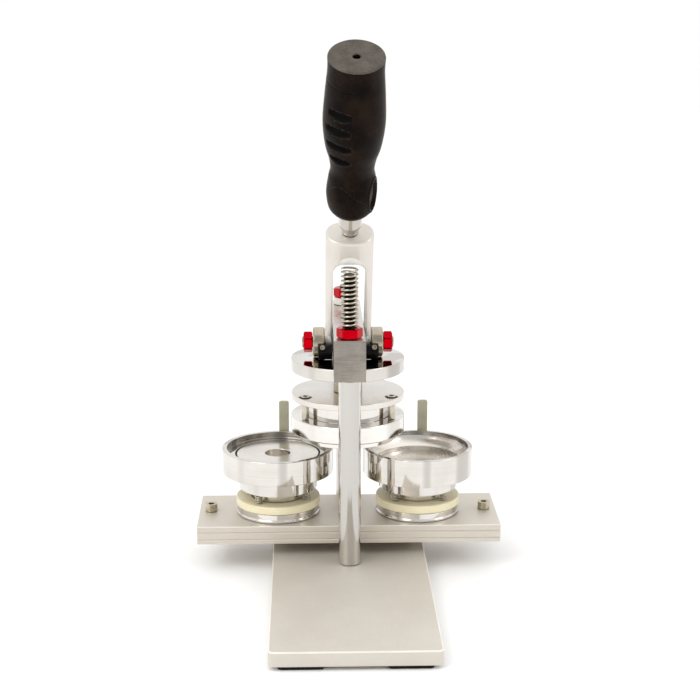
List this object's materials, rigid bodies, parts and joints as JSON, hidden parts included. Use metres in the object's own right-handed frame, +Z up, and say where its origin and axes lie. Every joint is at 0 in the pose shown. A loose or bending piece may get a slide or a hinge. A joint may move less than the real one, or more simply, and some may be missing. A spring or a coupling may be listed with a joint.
{
  "type": "button badge maker",
  "caption": "Bench hand press for button badges: fork lever over a column frame, spring-floated round dies on a sliding table, long flat base.",
  "frame": {"origin": "on the ground under the centre of the base plate, which is also the centre of the overall box's foot", "axes": "+X along the sliding table, shell die on the -X side; -Y towards the person pulling the lever; +Z up"},
  "size_m": [0.2084, 0.276, 0.3648],
  "materials": {
    "satin_aluminium": "satin anodised, warm grey",
    "brushed_steel": "fine brushed",
    "satin_silver": "satin",
    "chrome": "polished",
    "red_anodised": "gloss red anodised",
    "spring_steel": "drawn wire",
    "black_oxide": "black oxide",
    "nylon": "cream nylon",
    "rubber": "matt",
    "grip_plastic": "moulded, fine texture",
    "strip_steel": "olive-grey plated strip"
  },
  "bodies": {
    "frame": {"base_plate": "satin_aluminium", "foot_front_left": "rubber", "foot_rear_left": "rubber", "foot_front_right": "rubber", "foot_rear_right": "rubber", "front_column": "chrome", "rear_column": "chrome", "top_beam": "brushed_steel", "guide_rail": "brushed_steel", "rear_spacer": "satin_silver", "front_column_nut": "red_anodised", "rear_column_nut": "red_anodised", "lever_spring": "spring_steel", "ram_spring_front": "spring_steel", "ram_spring_rear": "spring_steel", "lever_axle": "spring_steel", "axle_nut_right": "red_anodised", "axle_nut_left": "red_anodised"},
    "lever": {"lever_fork": "satin_silver", "handle_stem": "chrome", "handle_grip": "grip_plastic", "grip_bolt": "black_oxide", "pivot_roller_left": "brushed_steel", "pivot_roller_right": "brushed_steel", "cam_left": "black_oxide", "cam_right": "black_oxide", "cam_screw_left": "brushed_steel", "cam_screw_right": "brushed_steel"},
    "ram": {"pressure_disc": "chrome", "ram_shank": "brushed_steel", "guide_pin_front": "spring_steel", "guide_pin_rear": "spring_steel", "upper_die_plate": "satin_silver", "upper_punch": "chrome"},
    "upper_die_ring": {"upper_ring": "chrome", "plate_bolt_left": "spring_steel", "plate_bolt_right": "spring_steel", "plate_bolt_rear": "spring_steel"},
    "table": {"slide_table": "satin_aluminium", "stop_screw_left": "spring_steel", "finger_tab_left": "strip_steel", "die_base_left": "chrome", "cushion_left": "nylon", "anvil_left": "chrome", "stop_screw_right": "spring_steel", "finger_tab_right": "strip_steel", "die_base_right": "chrome", "cushion_right": "nylon", "anvil_right": "chrome", "die_spring_left_1": "spring_steel", "die_spring_left_2": "spring_steel", "die_spring_left_3": "spring_steel", "die_spring_left_4": "spring_steel", "die_spring_right_1": "spring_steel", "die_spring_right_2": "spring_steel", "die_spring_right_3": "spring_steel", "die_spring_right_4": "spring_steel"},
    "shell_die_ring": {"shell_ring": "chrome"},
    "cup_die_ring": {"cup_ring": "chrome"}
  },
  "joints": [
    {"name": "lever_pivot", "type": "hinge", "parent": "frame", "child": "lever", "pos_m": [0, 0.053, 0.1554], "axis": [1, 0, 0], "range_deg": [0, 54], "stiffness_Nm_per_rad": 0.35, "springref_deg": -68.75, "deforming": ["lever_spring"]},
    {"name": "ram_slide", "type": "slide", "parent": "frame", "child": "ram", "axis": [0, 0, -1], "range_m": [0, 0.0076], "deforming": ["ram_spring_front", "ram_spring_rear"]},
    {"name": "upper_ring_slide", "type": "slide", "parent": "ram", "child": "upper_die_ring", "axis": [0, 0, 1], "range_m": [0, 0.008]},
    {"name": "table_slide", "type": "slide", "parent": "frame", "child": "table", "axis": [1, 0, 0], "range_m": [-0.049, 0.049]},
    {"name": "shell_ring_slide", "type": "slide", "parent": "table", "child": "shell_die_ring", "axis": [0, 0, -1], "range_m": [0, 0.006], "stiffness_N_per_m": 2000, "springref_m": -0.004, "deforming": ["die_spring_left_1", "die_spring_left_2", "die_spring_left_3", "die_spring_left_4"]},
    {"name": "cup_ring_slide", "type": "slide", "parent": "table", "child": "cup_die_ring", "axis": [0, 0, -1], "range_m": [0, 0.006], "stiffness_N_per_m": 2000, "springref_m": -0.004, "deforming": ["die_spring_right_1", "die_spring_right_2", "die_spring_right_3", "die_spring_right_4"]}
  ],
  "couplings": [
    {"joint": "ram_slide", "follows": "lever_pivot", "m_per_rad": 0.008}
  ]
}
